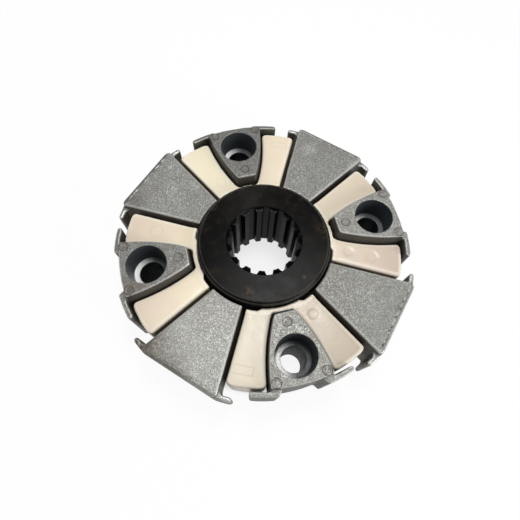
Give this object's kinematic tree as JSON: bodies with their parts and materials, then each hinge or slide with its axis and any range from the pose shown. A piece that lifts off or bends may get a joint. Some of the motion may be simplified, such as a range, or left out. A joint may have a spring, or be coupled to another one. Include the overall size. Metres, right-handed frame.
{
  "type": "shaft coupling",
  "caption": "Flywheel shaft coupling: splined steel hub ringed by cast aluminium blocks, with cast inserts for the flange bolts and cream polymer forks between the two.",
  "frame": {"origin": "on the shaft axis, in the plane of the four faces that rest on the flywheel", "axes": "+Z along the shaft axis, away from the flywheel; +X through the centre of a flange hole; +Y through the next one"},
  "size_m": [0.1996, 0.1996, 0.052],
  "materials": {
    "cast_aluminium": "as cast, sparkling grain, lightly scuffed",
    "black_steel": "black oxide, dull, with faint rust",
    "cream_polymer": "moulded, satin",
    "black_screw_steel": "black oxide, satin",
    "spring_steel": "plain"
  },
  "bodies": {
    "root": {"hub": "black_steel", "hub_block_1": "cast_aluminium", "hub_block_2": "cast_aluminium", "hub_block_3": "cast_aluminium", "hub_block_4": "cast_aluminium", "radial_screw_1": "black_screw_steel", "radial_screw_2": "black_screw_steel", "radial_screw_3": "black_screw_steel", "radial_screw_4": "black_screw_steel", "spring_pin_1": "spring_steel", "spring_pin_2": "spring_steel", "spring_pin_3": "spring_steel", "spring_pin_4": "spring_steel", "flange_insert_1": "cast_aluminium", "flange_insert_2": "cast_aluminium", "flange_insert_3": "cast_aluminium", "flange_insert_4": "cast_aluminium", "polymer_fork_1": "cream_polymer", "polymer_fork_2": "cream_polymer", "polymer_fork_3": "cream_polymer", "polymer_fork_4": "cream_polymer"}
  },
  "joints": []
}
